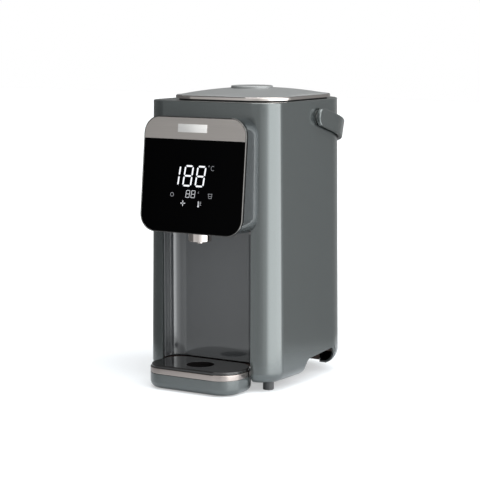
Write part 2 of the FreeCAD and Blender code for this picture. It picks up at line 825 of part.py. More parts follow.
def make_electrics():
    finish(box("main_board_block", "board_length", "board_depth", "board_thick",
               "board_x", "board_y", "board_z"), "main_board")
    corners = [
        (x, y)
        for x in ("board_x + board_margin", "board_x + board_length - board_margin")
        for y in ("board_y + board_margin", "board_y + board_depth - board_margin")
    ]
    legs = [cylinder(f"board_post_{n}", 2.2, "board_z - plate_bottom - plate_thick", x, y,
                     "plate_bottom + plate_thick")
            for n, (x, y) in enumerate(corners)]
    finish(bundle("board_posts_set", legs), "board_posts")
    finish(box("relay_block", 18, 14, 14, "board_x + 8", "board_y + 18",
               "board_z + board_thick"), "relay")
    finish(box("transformer_block", 20, 18, 17, "board_x + 30", "board_y + 14",
               "board_z + board_thick"), "transformer")
    make_inlet()


def make_inlet():
    """The mains socket low on the back: a lipped case with a deep well and two pins."""
    case = box("inlet_case", "inlet_width", "inlet_back - 79.35", "inlet_height",
               "0 - inlet_width / 2", 80, "inlet_low")
    lip = box("inlet_flange", "inlet_width + 2 * inlet_lip", 2.2, "inlet_height + 2 * inlet_lip",
              "0 - inlet_width / 2 - inlet_lip", "inlet_back", "inlet_low - inlet_lip")
    well = box("inlet_well", "inlet_width - 2 * inlet_wall", 16, "inlet_height - 2 * inlet_wall",
               "0 - inlet_width / 2 + inlet_wall", "inlet_well_front", "inlet_low + inlet_wall")
    finish(cut("inlet_cut", group("inlet_whole", [lip, case]), well), "power_inlet")
    pin_width, pin_height, pin_spacing = 2.0, 5.0, 5.0
    pins = [
        box(f"inlet_pin_{side}", pin_width, 14, pin_height, side * pin_spacing - pin_width / 2,
            "inlet_well_front", f"inlet_low + inlet_height / 2 - {pin_height / 2}")
        for side in (-1, 1)
    ]
    finish(bundle("inlet_pins_set", pins), "inlet_pins")


# Lid

def lid_slab(name, inset, bottom, height):
    return slab(name, f"lid_half_width - {inset}", f"0 - lid_front - {inset}",
                f"lid_back - {inset}", f"lid_front_corner - {inset}",
                f"lid_back_corner - {inset}", bottom, height)


def on_dome_rim(edge):
    return edge.BoundBox.ZMin > size("lid_ring_top") + 1


def make_lid():
    outer = rounded("lid_ring_soft", lid_slab("lid_ring_form", "0", "lid_ring_bottom",
                                              "lid_ring_top - lid_ring_bottom"),
                    1.2, lies_at(size("lid_ring_top")))
    hollow = lid_slab("lid_ring_hollow", "5", "lid_ring_bottom - 5", "20")
    finish(cut("lid_ring_cut", outer, hollow), "lid_ring")
    plate = lid_slab("dome_plan", "2.5", "lid_ring_top + 0.05", "20")
    plug = lid_slab("dome_plug", "5.2", "lid_ring_bottom", "10")
    ball = DOC.addObject("Part::Sphere", "dome_ball")
    bind(ball, "Radius", "dome_radius")
    place(ball, "0", "( lid_front + lid_back ) / 2", "dome_top - dome_radius")
    dome = rounded("dome_soft", overlap("dome_form", group("dome_blank", [plate, plug]), ball),
                   size("dome_edge"), on_dome_rim)
    well = cylinder("dome_well", "knob_radius + 0.4", 20, 0, "knob_y", "lid_ring_bottom + 2")
    stem = cylinder("dome_stem_hole", "5.05", 40, 0, "knob_y", 320)
    finish(cut("lid_dome_cut", dome, well, stem), "lid_dome")
    seat = cut("seat_ring", lid_slab("seat_outside", "4", "body_top + 0.2", "0.9"),
               lid_slab("seat_inside", "8", "body_top - 5", "20"))
    finish(seat, "lid_seat_gasket")
    plug_low = "pot_rim - 16"
    liner = cut(
        "lid_liner_cut",
        group("liner_whole", [
            lid_slab("liner_flange", "8.3", "body_top + 0.2", "0.9"),
            cylinder("liner_plug", "mouth_radius - 3.5", f"body_top + 0.3 - ( {plug_low} )",
                     0, "pot_y", plug_low),
        ]),
        cylinder("liner_hollow", "mouth_radius - 6", "14", 0, "pot_y", f"{plug_low} + 2.5"),
        cylinder("liner_stem_hole", "5.05", 40, 0, "knob_y", "pot_rim - 5"),
    )
    finish(liner, "lid_liner")
    finish(ring("lid_gasket_ring", "mouth_radius - 0.5", "mouth_radius - 3.5", "4",
                "0", "pot_y", "pot_rim - 8"), "lid_gasket")


def make_knob():
    cap = rounded("knob_soft", cylinder("knob_disc", "knob_radius", "knob_top - 348",
                                        0, "knob_y", 348), 1.2, lies_at(size("knob_top")))
    stem = cylinder("knob_stem", 5, 14, 0, "knob_y", 335)
    finish(group("lid_knob_whole", [cap, stem]), "lid_knob")
    finish(ring("knob_spring_tube", "8", "6.6", "4.6", "0", "knob_y", "343.3"), "knob_spring")


# Carrying strap

def make_strap():
    body = new_body("strap_body")
    sketch = new_sketch(body, "strap_plan", height="0 - strap_height / 2")
    rounded_outline(sketch, "strap_half_inner + strap_thick", "11", "strap_reach + strap_thick",
                    "2", "strap_corner + strap_thick")
    pad(body, sketch, "strap_height")
    inner = new_sketch(body, "strap_opening", height="0 - strap_height / 2")
    rounded_outline(inner, "strap_half_inner", "60", "strap_reach", "2", "strap_corner")
    pocket(body, inner, "strap_height", reverse=True)
    soft_end = group("strap_end_round", [
        cylinder("strap_end_disc", "strap_height / 2", 260, -130, 0, 0, "x"),
        box("strap_end_box", 260, 200, "strap_height", -130, 0, "0 - strap_height / 2"),
    ])
    shaped = overlap("strap_shaped", body, soft_end)
    run_in = 0.6
    bores = [
        cylinder(f"strap_bore_{side}", "pin_radius + pin_clearance", f"bore_depth + {run_in}",
                 mirrored(side, f"strap_half_inner - {run_in}", "strap_half_inner + bore_depth"),
                 0, 0, "x")
        for side in (-1, 1)
    ]
    strap = cut("strap_cut", shaped, *bores)
    strap.Placement = FreeCAD.Placement(V(), FreeCAD.Rotation(V(1, 0, 0), -size("strap_slope")))
    place(strap, "0", "pivot_y", "pivot_z")
    finish(strap, "carry_strap")
    make_pivots()


def make_pivots():
    pin_length = 13.5
    pins = [
        cylinder(f"pivot_pin_{side}", "pin_radius", pin_length,
                 mirrored(side, f"strap_half_inner + pin_hold - {pin_length}",
                          "strap_half_inner + pin_hold"),
                 "pivot_y", "pivot_z", "x")
        for side in (-1, 1)
    ]
    finish(bundle("pivot_pins_set", pins), "pivot_pins")
    washers = []
    for side in (-1, 1):
        start = mirrored(side, "strap_half_inner - 0.3 - washer_thick", "strap_half_inner - 0.3")
        washers.append(cut(
            f"washer_{side}",
            cylinder(f"washer_disc_{side}", 8, "washer_thick", start, "pivot_y", "pivot_z", "x"),
            cylinder(f"washer_hole_{side}", "pin_radius", "washer_thick + 4", f"{start} - 2",
                     "pivot_y", "pivot_z", "x"),
        ))
    finish(bundle("pivot_washers_set", washers), "pivot_washers")


def check_and_write():
    DOC.recompute()
    for obj in DOC.Objects:
        if "Invalid" in obj.State or "Error" in obj.State:
            raise RuntimeError(f"{obj.Name}: {obj.State}")
    for obj in FINISHED:
        if obj.Shape.isNull() or not obj.Shape.isValid() or not obj.Shape.Solids:
            raise RuntimeError(f"{obj.Label} has no valid solid")
    os.makedirs("parts", exist_ok=True)
    for obj in FINISHED:
        bounds = obj.Shape.BoundBox
        print(f"{obj.Label}: {len(obj.Shape.Solids)} solid, {obj.Shape.Volume / 1000:.2f} ml, "
              f"x {bounds.XMin:.1f} {bounds.XMax:.1f} y {bounds.YMin:.1f} {bounds.YMax:.1f} "
              f"z {bounds.ZMin:.1f} {bounds.ZMax:.1f}")
        obj.Shape.exportStep(f"parts/{obj.Label}.step")


def main():
    fill_sheet()
    make_outer_shell()
    make_base_skirt()
    make_base_plate()
    make_base_screws()
    make_feet()
    make_top_collar()
    make_bay_liner()
    make_panel()
    make_head_cowl()
    make_nozzle()
    make_tray()
    make_pot()
    make_pump()
    make_hoses()
    make_electrics()
    make_lid()
    make_knob()
    make_strap()
    check_and_write()


main()
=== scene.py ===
import json
import math

import bpy
from mathutils import Matrix, Vector


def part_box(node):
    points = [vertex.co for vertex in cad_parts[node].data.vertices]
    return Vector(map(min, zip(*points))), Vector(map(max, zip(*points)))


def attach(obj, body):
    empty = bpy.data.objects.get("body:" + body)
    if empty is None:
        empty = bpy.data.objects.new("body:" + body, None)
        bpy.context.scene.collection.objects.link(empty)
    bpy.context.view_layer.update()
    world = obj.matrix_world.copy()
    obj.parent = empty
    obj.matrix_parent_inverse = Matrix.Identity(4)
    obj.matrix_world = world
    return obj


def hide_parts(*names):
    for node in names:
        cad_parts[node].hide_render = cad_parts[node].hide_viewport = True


# Electric thermo pot: glossy grey housing, black touch panel with a brushed strip, warm chrome trim.
# Lengths are in metres, except the marks on the panel, which are drawn in millimetres.
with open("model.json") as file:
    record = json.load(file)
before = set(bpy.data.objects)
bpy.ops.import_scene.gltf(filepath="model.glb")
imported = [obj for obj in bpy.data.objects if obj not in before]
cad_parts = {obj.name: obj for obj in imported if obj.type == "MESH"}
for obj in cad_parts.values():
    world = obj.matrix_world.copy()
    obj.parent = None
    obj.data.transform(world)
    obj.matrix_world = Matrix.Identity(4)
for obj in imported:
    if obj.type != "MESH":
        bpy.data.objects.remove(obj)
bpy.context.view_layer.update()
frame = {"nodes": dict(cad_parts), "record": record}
MM = 0.001


# Places read from the frame

def corner_low(node):
    return Vector(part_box(node)[0])


def corner_high(node):
    return Vector(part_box(node)[1])


PANEL_TILT = math.radians(5.74)
BEZEL_DEPTH = 3.2 * MM
PANEL_UP = Vector((0, math.sin(PANEL_TILT), math.cos(PANEL_TILT)))
PANEL_OUT = Vector((0, -math.cos(PANEL_TILT), math.sin(PANEL_TILT)))
PANEL_FOOT = Vector((
    0, corner_low("panel_bezel").y, corner_low("panel_bezel").z + BEZEL_DEPTH * math.sin(PANEL_TILT)
))
HOUSING_MIDDLE = (corner_low("top_collar") + corner_high("top_collar")) / 2


# Camera

VIEW_AZIMUTH = math.radians(32.18)
VIEW_ELEVATION = math.radians(7.5)
VIEW_DISTANCE = 2.14821
AIM_ASIDE = -0.01412
AIM_HEIGHT = 0.16523
SENSOR_WIDTH = 36
LENS = 130.57


def make_camera():
    away = Vector((
        math.sin(VIEW_AZIMUTH) * math.cos(VIEW_ELEVATION),
        -math.cos(VIEW_AZIMUTH) * math.cos(VIEW_ELEVATION),
        math.sin(VIEW_ELEVATION),
    ))
    across = Vector((math.cos(VIEW_AZIMUTH), math.sin(VIEW_AZIMUTH), 0))
    aim = Vector((0, HOUSING_MIDDLE.y, AIM_HEIGHT)) + across * AIM_ASIDE
    camera = bpy.data.cameras.new("camera")
    camera.sensor_width = SENSOR_WIDTH
    camera.lens = LENS
    holder = bpy.data.objects.new("camera", camera)
    bpy.context.collection.objects.link(holder)
    holder.location = aim + away * VIEW_DISTANCE
    holder.rotation_mode = "QUATERNION"
    holder.rotation_quaternion = (-away).to_track_quat("-Z", "Y")
    bpy.context.scene.camera = holder


# Helpers for selecting, changing and wiring

def deselect():
    if bpy.context.object and bpy.context.object.mode != "OBJECT":
        bpy.ops.object.mode_set(mode="OBJECT")
    bpy.ops.object.select_all(action="DESELECT")


def only(piece):
    deselect()
    piece.select_set(True)
    bpy.context.view_layer.objects.active = piece


def modify(piece, kind, **values):
    tool = piece.modifiers.new(kind.lower(), kind)
    for key, value in values.items():
        setattr(tool, key, value)
    bpy.ops.object.modifier_apply(modifier=tool.name)


def set_inputs(node, **values):
    """Set sockets by name, with an underscore for each space."""
    for socket, value in values.items():
        node.inputs[socket.replace("_", " ")].default_value = value


def calculation(nodes, kind, operation):
    made = nodes.new(kind)
    made.operation = operation
    return made


# Floor: white to the camera, softly shadowed, and only mirrored in close by

FLOOR_SIZE = 12
FLOOR_DROP = 0.4 * MM
FLOOR_COLOUR = (0.74, 0.77, 0.80, 1)
MIRRORED_FULLY_WITHIN = 0.16
MIRRORED_NOT_BEYOND = 0.34
GLOW_NEAR = 0.42
GLOW_FAR = 0.75
GLOW_STARTS_AT = 0.3
GLOW_FULL_AT = 1.2


def make_floor():
    deselect()
    bpy.ops.mesh.primitive_plane_add(size=FLOOR_SIZE, location=(0, 0, -FLOOR_DROP))
    floor = bpy.context.object
    floor.name = "floor"
    paint, shader = new_material("floor_white")
    nodes, links = paint.node_tree.nodes, paint.node_tree.links
    set_inputs(shader, Base_Color=FLOOR_COLOUR, Roughness=0.20, Specular_IOR_Level=0.35,
               Emission_Color=(1, 1, 1, 1))
    path = nodes.new("ShaderNodeLightPath")
    where = nodes.new("ShaderNodeTexCoord")
    distance = calculation(nodes, "ShaderNodeVectorMath", "LENGTH")
    links.new(where.outputs["Object"], distance.inputs[0])

    fade = nodes.new("ShaderNodeMapRange")
    set_inputs(fade, From_Min=GLOW_STARTS_AT, From_Max=GLOW_FULL_AT, To_Min=GLOW_NEAR,
               To_Max=GLOW_FAR)
    glow = calculation(nodes, "ShaderNodeMath", "MULTIPLY")
    links.new(distance.outputs["Value"], fade.inputs["Value"])
    links.new(path.outputs["Is Camera Ray"], glow.inputs[0])
    links.new(fade.outputs[0], glow.inputs[1])
    links.new(glow.outputs[0], shader.inputs["Emission Strength"])

    far = nodes.new("ShaderNodeMapRange")
    set_inputs(far, From_Min=MIRRORED_FULLY_WITHIN, From_Max=MIRRORED_NOT_BEYOND)
    unseen = calculation(nodes, "ShaderNodeMath", "MULTIPLY")
    clear = nodes.new("ShaderNodeBsdfTransparent")
    mix = nodes.new("ShaderNodeMixShader")
    links.new(distance.outputs["Value"], far.inputs["Value"])
    links.new(far.outputs[0], unseen.inputs[0])
    links.new(path.outputs["Is Glossy Ray"], unseen.inputs[1])
    links.new(unseen.outputs[0], mix.inputs[0])
    links.new(shader.outputs[0], mix.inputs[1])
    links.new(clear.outputs[0], mix.inputs[2])
    links.new(mix.outputs[0], nodes["Material Output"].inputs["Surface"])
    floor.data.materials.append(paint)


# Light: what is seen straight on is white, what the pot mirrors is banded

# Brightness of the room by azimuth: 0 is in front of the pot and 90 to its right
ROOM_BANDS = (
    (-180, 0.12), (-150, 0.05), (-70, 0.05), (-36, 0.06), (-31.5, 0.24), (-4, 0.22), (16, 0.20),
    (50, 0.45), (66, 1.05), (128, 1.05), (132, 0.20), (145, 0.18), (150, 0.09), (180, 0.09),
)
ROOM_STRENGTH = 3.4
ROOM_RED = 0.98
OVERHEAD_PLACE = Vector((0.0, -0.2, 1.9))
OVERHEAD_SIZE = 1.8
OVERHEAD_POWER = 26


def make_room():
    world = bpy.data.worlds.new("studio")
    bpy.context.scene.world = world
    world.use_nodes = True
    nodes, links = world.node_tree.nodes, world.node_tree.links
    nodes.clear()
    where = nodes.new("ShaderNodeTexCoord")
    split = nodes.new("ShaderNodeSeparateXYZ")
    back = calculation(nodes, "ShaderNodeMath", "MULTIPLY")
    back.inputs[1].default_value = -1
    azimuth = calculation(nodes, "ShaderNodeMath", "ARCTAN2")
    share = nodes.new("ShaderNodeMapRange")
    set_inputs(share, From_Min=-math.pi, From_Max=math.pi)
    bands = nodes.new("ShaderNodeValToRGB")
    links.new(where.outputs["Generated"], split.inputs[0])
    links.new(split.outputs["Y"], back.inputs[0])
    links.new(split.outputs["X"], azimuth.inputs[0])
    links.new(back.outputs[0], azimuth.inputs[1])
    links.new(azimuth.outputs[0], share.inputs["Value"])
    links.new(share.outputs[0], bands.inputs["Fac"])
    stops = bands.color_ramp.elements
    for number, (turn, level) in enumerate(ROOM_BANDS):
        place = (turn + 180) / 360
        stop = stops[number] if number < 2 else stops.new(place)
        stop.position = place
        stop.color = (level * ROOM_RED, level, level, 1)

    path = nodes.new("ShaderNodeLightPath")
    seen = nodes.new("ShaderNodeBackground")
    room = nodes.new("ShaderNodeBackground")
    mix = nodes.new("ShaderNodeMixShader")
    output = nodes.new("ShaderNodeOutputWorld")
    set_inputs(seen, Color=(1, 1, 1, 1))
    set_inputs(room, Strength=ROOM_STRENGTH)
    links.new(bands.outputs["Color"], room.inputs["Color"])
    links.new(path.outputs["Is Camera Ray"], mix.inputs[0])
    links.new(room.outputs[0], mix.inputs[1])
    links.new(seen.outputs[0], mix.inputs[2])
    links.new(mix.outputs[0], output.inputs["Surface"])


def make_overhead():
    lamp = bpy.data.lights.new("overhead", "AREA")
    lamp.shape = "RECTANGLE"
    lamp.size, lamp.size_y = OVERHEAD_SIZE, OVERHEAD_SIZE
    lamp.energy = OVERHEAD_POWER
    holder = bpy.data.objects.new("overhead", lamp)
    bpy.context.collection.objects.link(holder)
    holder.location = OVERHEAD_PLACE
    holder.rotation_mode = "QUATERNION"
    holder.rotation_quaternion = (-OVERHEAD_PLACE).to_track_quat("-Z", "Y")


def make_light():
    bpy.context.scene.view_settings.view_transform = "Standard"
    make_room()
    make_overhead()


# Materials

GRAIN_DETAIL = 4
GRAIN_MIDDLE = 0.5
GRAIN_RELIEF = 0.04 * MM
GRAIN_INPUTS = (
    ("Scale", "Float"), ("Stretch", "Vector"), ("Colour", "Color"), ("Spread", "Float"),
    ("Roughness", "Float"), ("Roughness spread", "Float"),
)
GRAIN_OUTPUTS = (("Colour", "Color"), ("Roughness", "Float"), ("Height", "Float"))


def new_material(name):
    paint = bpy.data.materials.new(name)
    paint.use_nodes = True
    return paint, paint.node_tree.nodes["Principled BSDF"]


def make_grain_group():
    """Shared fine variation: a value to vary the colour, a roughness and a small surface height."""
    group = bpy.data.node_groups.new("moulded_grain", "ShaderNodeTree")
    for side, sockets in (("INPUT", GRAIN_INPUTS), ("OUTPUT", GRAIN_OUTPUTS)):
        for name, kind in sockets:
            group.interface.new_socket(name, in_out=side, socket_type="NodeSocket" + kind)
    nodes, links = group.nodes, group.links
    given = nodes.new("NodeGroupInput")
    result = nodes.new("NodeGroupOutput")
    where = nodes.new("ShaderNodeTexCoord")
    stretch = calculation(nodes, "ShaderNodeVectorMath", "MULTIPLY")
    noise = nodes.new("ShaderNodeTexNoise")
    set_inputs(noise, Detail=GRAIN_DETAIL)
    centred = calculation(nodes, "ShaderNodeMath", "SUBTRACT")
    centred.inputs[1].default_value = GRAIN_MIDDLE
    links.new(where.outputs["Object"], stretch.inputs[0])
    links.new(given.outputs["Stretch"], stretch.inputs[1])
    links.new(stretch.outputs[0], noise.inputs["Vector"])
    links.new(given.outputs["Scale"], noise.inputs["Scale"])
    links.new(noise.outputs["Fac"], centred.inputs[0])
    links.new(noise.outputs["Fac"], result.inputs["Height"])

    amount = calculation(nodes, "ShaderNodeMath", "MULTIPLY_ADD")
    amount.inputs[2].default_value = 1
    tinted = calculation(nodes, "ShaderNodeVectorMath", "SCALE")
    links.new(centred.outputs[0], amount.inputs[0])
    links.new(given.outputs["Spread"], amount.inputs[1])
    links.new(given.outputs["Colour"], tinted.inputs[0])
    links.new(amount.outputs[0], tinted.inputs["Scale"])
    links.new(tinted.outputs[0], result.inputs["Colour"])

    rough = calculation(nodes, "ShaderNodeMath", "MULTIPLY_ADD")
    links.new(centred.outputs[0], rough.inputs[0])
    links.new(given.outputs["Roughness spread"], rough.inputs[1])
    links.new(given.outputs["Roughness"], rough.inputs[2])
    links.new(rough.outputs[0], result.inputs["Roughness"])
    return group


GRAIN = make_grain_group()


def surface(name, colour, roughness, scale=900, stretch=(1, 1, 1), spread=0.06,
            roughness_spread=0.05, height=0.0, **constants):
    """A material whose colour, roughness and relief vary with the shared grain."""
    paint, shader = new_material(name)
    nodes, links = paint.node_tree.nodes, paint.node_tree.links
    grain = nodes.new("ShaderNodeGroup")
    grain.node_tree = GRAIN
    set_inputs(grain, Scale=scale, Stretch=stretch, Colour=(*colour, 1), Spread=spread,
               Roughness=roughness, Roughness_spread=roughness_spread)
    links.new(grain.outputs["Colour"], shader.inputs["Base Color"])
    links.new(grain.outputs["Roughness"], shader.inputs["Roughness"])
    if height:
        bump = nodes.new("ShaderNodeBump")
        set_inputs(bump, Strength=height, Distance=GRAIN_RELIEF)
        links.new(grain.outputs["Height"], bump.inputs["Height"])
        links.new(bump.outputs["Normal"], shader.inputs["Normal"])
    set_inputs(shader, **constants)
    return paint


def glow_material(name, strength):
    paint, shader = new_material(name)
    set_inputs(shader, Base_Color=(0.10, 0.10, 0.11, 1), Emission_Color=(0.95, 0.97, 1, 1),
               Emission_Strength=strength)
    return paint


LACQUER = {"Metallic": 0.7, "Coat_Weight": 1.0, "Coat_Roughness": 0.03}
BLACK_CHROME = surface("black_chrome", (0.17, 0.165, 0.16), 0.08, scale=70, Metallic=1.0)
COWL_GREY = surface("cowl_grey", (0.070, 0.080, 0.085), 0.20, scale=2600, spread=0.08, **LACQUER)
BAND_CHROME = surface("band_chrome", (0.40, 0.352, 0.33), 0.07, scale=70, Metallic=1.0,
                      spread=0.05)
PLATE_METAL = surface("plate_metal", (0.88, 0.86, 0.84), 0.36, scale=900, Metallic=0.6)

BY_SLOT = {
    "shell_grey": surface("shell_grey", (0.098, 0.110, 0.110), 0.22, scale=2600, spread=0.08,
                          **LACQUER),
    "lid_grey": surface("lid_grey", (0.27, 0.275, 0.275), 0.42, scale=2600, spread=0.10,
                        height=0.05, Metallic=0.45),
    "liner_grey": surface("liner_grey", (0.075, 0.078, 0.082), 0.14, scale=60, spread=0.05,
                          Metallic=0.2, Coat_Weight=1.0, Coat_Roughness=0.03),
    "black_glass": surface("black_glass", (0.0005, 0.0005, 0.0006), 0.05, scale=40,
                           roughness_spread=0.01, Specular_IOR_Level=0.02),
    "brushed_strip": surface("brushed_strip", (0.56, 0.52, 0.495), 0.34, scale=900,
                             stretch=(0.02, 1, 1), spread=0.18, roughness_spread=0.12,
                             height=0.15, Metallic=1.0, Anisotropic=0.5),
    "bright_trim": surface("warm_chrome", (0.62, 0.57, 0.545), 0.10, scale=70, spread=0.05,
                           Metallic=1.0),
    "dark_plastic": surface("dark_plastic", (0.022, 0.022, 0.024), 0.45, scale=1800, height=0.15),
    "black_gloss": surface("black_gloss", (0.008, 0.007, 0.007), 0.07, scale=60,
                           Coat_Weight=0.5, Coat_Roughness=0.02),
    "pot_steel": surface("pot_steel", (0.55, 0.55, 0.54), 0.28, scale=700, stretch=(1, 1, 0.03),
                         spread=0.12, Metallic=1.0),
    "jacket_foil": surface("jacket_foil", (0.5, 0.5, 0.48), 0.6, scale=400, height=0.4),
    "cast_metal": surface("cast_metal", (0.42, 0.42, 0.42), 0.5, scale=500, height=0.3,
                          Metallic=1.0),
    "seal_rubber": surface("seal_rubber", (0.02, 0.02, 0.021), 0.6, scale=900, height=0.2),
    "hose_silicone": surface("hose_silicone", (0.62, 0.62, 0.60), 0.35, scale=300),
    "circuit_board": surface("circuit_board", (0.02, 0.10, 0.05), 0.4, scale=500, spread=0.3),
    "base_plastic": surface("base_plastic", (0.115, 0.082, 0.074), 0.45, scale=1200, height=0.1),
    "foot_rubber": surface("foot_rubber", (0.06, 0.06, 0.062), 0.4, scale=900),
}
FINISH_OF = {"panel_bezel": BLACK_CHROME, "head_cowl": COWL_GREY, "tray_band": BAND_CHROME}
SLOT_OF = {row["node"]: row["material_slot"] for row in frame["record"]["subparts"]}
BODY_OF = {
    node: body for body, nodes in frame["record"]["behaviour"]["bodies"].items() for node in nodes
}


def finish_of(node):
    return FINISH_OF.get(node, BY_SLOT[SLOT_OF[node]])


def paint_rest(done):
    """Give the pieces that are shown as they come their materials."""
    for node, piece in frame["nodes"].items():
        if node not in done:
            piece.data.materials.clear()
            piece.data.materials.append(finish_of(node))


# Mouldings: width of the eased edge of each

EASED_EDGE = {
    "outer_shell": 0.9 * MM,
    "base_skirt": 1.7 * MM,
    "top_collar": 0.7 * MM,
    "head_cowl": 1.2 * MM,
    "bay_liner": 0.4 * MM,
    "panel_bezel": 0.8 * MM,
    "panel_glass": 0.15 * MM,
    "panel_strip": 0.15 * MM,
    "panel_carrier": 0.3 * MM,
    "nozzle_sleeve": 0.7 * MM,
    "nozzle_tip": 0.4 * MM,
    "tray_body": 0.5 * MM,
    "tray_band": 0.7 * MM,
    "tray_cover": 0.6 * MM,
    "lid_ring": 0.4 * MM,
    "lid_dome": 0.8 * MM,
    "lid_knob": 0.3 * MM,
    "carry_strap": 1.2 * MM,
    "power_inlet": 0.5 * MM,
    "base_plate": 0.5 * MM,
    "front_feet": 0.7 * MM,
    "rear_feet": 0.7 * MM,
    "inner_pot": 0.2 * MM,
    "lid_liner": 0.5 * MM,
    "tray_ledge": 0.3 * MM,
    "riser_hose": 0,
    "heater_disc": 0.4 * MM,
    "pump_housing": 0.4 * MM,
    "pump_cover": 0.4 * MM,
    "insulation_jacket": 0.3 * MM,
}
EDGE_STEPS = 3
EDGE_ANGLE = math.radians(28)
SMOOTH_ANGLE = math.radians(40)
FLAT_ANGLE = math.radians(0.3)
WELD = 0.01 * MM
NORMAL_WEIGHT = 80
DOME_DROP = 2.8 * MM
DOME_SEAT_GAP = 0.2 * MM
DOME_SQUARENESS = 4


def dress(node, edge):
    """Take a welded copy of a moulding, ease its edges and shade it smooth."""
    source = frame["nodes"][node]
    piece = source.copy()
    piece.data = source.data.copy()
    piece.name = node + "_finished"
    bpy.context.collection.objects.link(piece)
    piece.parent = None
    piece.matrix_world = Matrix.Identity(4)
    only(piece)
    bpy.ops.object.mode_set(mode="EDIT")
    bpy.ops.mesh.select_all(action="SELECT")
    bpy.ops.mesh.remove_doubles(threshold=WELD)
    bpy.ops.mesh.dissolve_limited(angle_limit=FLAT_ANGLE)
    bpy.ops.object.mode_set(mode="OBJECT")
    if edge:
        modify(piece, "BEVEL", width=edge, segments=EDGE_STEPS, limit_method="ANGLE",
               angle_limit=EDGE_ANGLE, miter_outer="MITER_ARC", use_clamp_overlap=True)
    bpy.ops.object.shade_smooth_by_angle(angle=SMOOTH_ANGLE)
    modify(piece, "WEIGHTED_NORMAL", keep_sharp=True, weight=NORMAL_WEIGHT)
    piece.data.materials.clear()
    piece.data.materials.append(finish_of(node))
    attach(piece, BODY_OF[node])
    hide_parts(node)
    return piece


def sink_dome_rim(dome):
    """Draw the dome down toward its rim, so that it meets its ring almost edge to edge."""
    seat = corner_high("lid_ring").z + DOME_SEAT_GAP
    middle = (corner_low("lid_dome") + corner_high("lid_dome")) / 2
    half = (corner_high("lid_dome") - corner_low("lid_dome")) / 2
    for vertex in dome.data.vertices:
        across = (vertex.co.x - middle.x) / half.x
        along = (vertex.co.y - middle.y) / half.y
        reach = (across ** DOME_SQUARENESS + along ** DOME_SQUARENESS) ** (1 / DOME_SQUARENESS)
        share = min(1.0, reach)
        if vertex.co.z > seat:
            vertex.co.z = max(seat, vertex.co.z - DOME_DROP * share ** 2)


# Flat marks, drawn on the panel plane: u runs across from its middle, v up from its lower edge

GLASS_BACK = 0.2 * MM
MARK_LIFT = 0.03 * MM
MARK_DEPTH = 0.06 * MM
TOUCHING = 0.01
POINT_SHARE = 0.5
BAR_STRETCH = 0.42
RING_STEPS = 28
DISC_STEPS = 20
SLANT = 0.125


def to_panel(piece):
    """Stand a flat mark on the glass and fix its place."""
    stand = Matrix((
        (1, 0, 0, 0),
        (0, PANEL_UP.y, PANEL_OUT.y, 0),
        (0, PANEL_UP.z, PANEL_OUT.z, 0),
        (0, 0, 0, 1),
    ))
    lift = PANEL_OUT * (MARK_LIFT - GLASS_BACK)
    piece.matrix_world = Matrix.Translation(PANEL_FOOT + lift) @ stand @ Matrix.Scale(MM, 4)
    only(piece)
    bpy.ops.object.transform_apply(location=True, rotation=True, scale=True)


def placed(piece, across, up, turn=0.0):
    piece.location = (across, up, 0)
    piece.rotation_euler = (0, 0, turn)
    only(piece)
    bpy.ops.object.transform_apply(location=True, rotation=True, scale=True)
    return piece


def joined(pieces, name):
    deselect()
    for piece in pieces:
        piece.select_set(True)
    bpy.context.view_layer.objects.active = pieces[0]
    if len(pieces) > 1:
        bpy.ops.object.join()
    whole = bpy.context.object
    whole.name = name
    return whole


def finish_marks(name, marks, light):
    whole = joined(marks, name)
    to_panel(whole)
    modify(whole, "SOLIDIFY", thickness=MARK_DEPTH, offset=-1.0)
    whole.data.materials.clear()
    whole.data.materials.append(light)
    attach(whole, "housing")


def bar_mark(width, height):
    deselect()
    bpy.ops.mesh.primitive_plane_add(size=1)
    mark = bpy.context.object
    mark.scale = (width, height, 1)
    bpy.ops.object.transform_apply(scale=True)
    return mark


def pointed_bar(length, thick):
    """One lit segment: a flat bar with pointed ends, lying along u."""
    point = thick * POINT_SHARE
    half = length / 2 - point
    bar = bar_mark(2 * half, thick)
    for side in (-1, 1):
        for edge in bar.data.edges:
            ends = [bar.data.vertices[n].co.x for n in edge.vertices]
            edge.select = all(abs(x - side * half) < TOUCHING for x in ends)
        bpy.ops.object.mode_set(mode="EDIT")
        bpy.context.tool_settings.mesh_select_mode = (False, True, False)
        bpy.ops.mesh.subdivide(number_cuts=1)
        bpy.ops.mesh.select_all(action="DESELECT")
        bpy.ops.object.mode_set(mode="OBJECT")
        for vertex in bar.data.vertices:
            if abs(vertex.co.x - side * half) < TOUCHING and abs(vertex.co.y) < TOUCHING:
                vertex.co.x = side * length / 2
    return bar


def disc_mark(radius, steps=DISC_STEPS):
    deselect()
    bpy.ops.mesh.primitive_circle_add(vertices=steps, radius=radius, fill_type="NGON")
    return bpy.context.object


def ring_mark(radius, thick, squash=1.0):
    mark = disc_mark(radius, RING_STEPS)
    bpy.ops.object.mode_set(mode="EDIT")
    bpy.ops.mesh.select_all(action="SELECT")
    bpy.ops.mesh.inset(thickness=thick)
    bpy.ops.mesh.delete(type="FACE")
    bpy.ops.object.mode_set(mode="OBJECT")
    mark.scale = (1, squash, 1)
    bpy.ops.object.transform_apply(scale=True)
    return mark


def open_ring(radius, thick, squash, gap_from, gap_half):
    """A ring with its right side open."""
    mark = ring_mark(radius, thick, squash)
    for vertex in mark.data.vertices:
        vertex.select = vertex.co.x > gap_from and abs(vertex.co.y) < gap_half
    bpy.ops.object.mode_set(mode="EDIT")
    bpy.context.tool_settings.mesh_select_mode = (True, False, False)
    bpy.ops.mesh.delete(type="VERT")
    bpy.ops.object.mode_set(mode="OBJECT")
    return mark


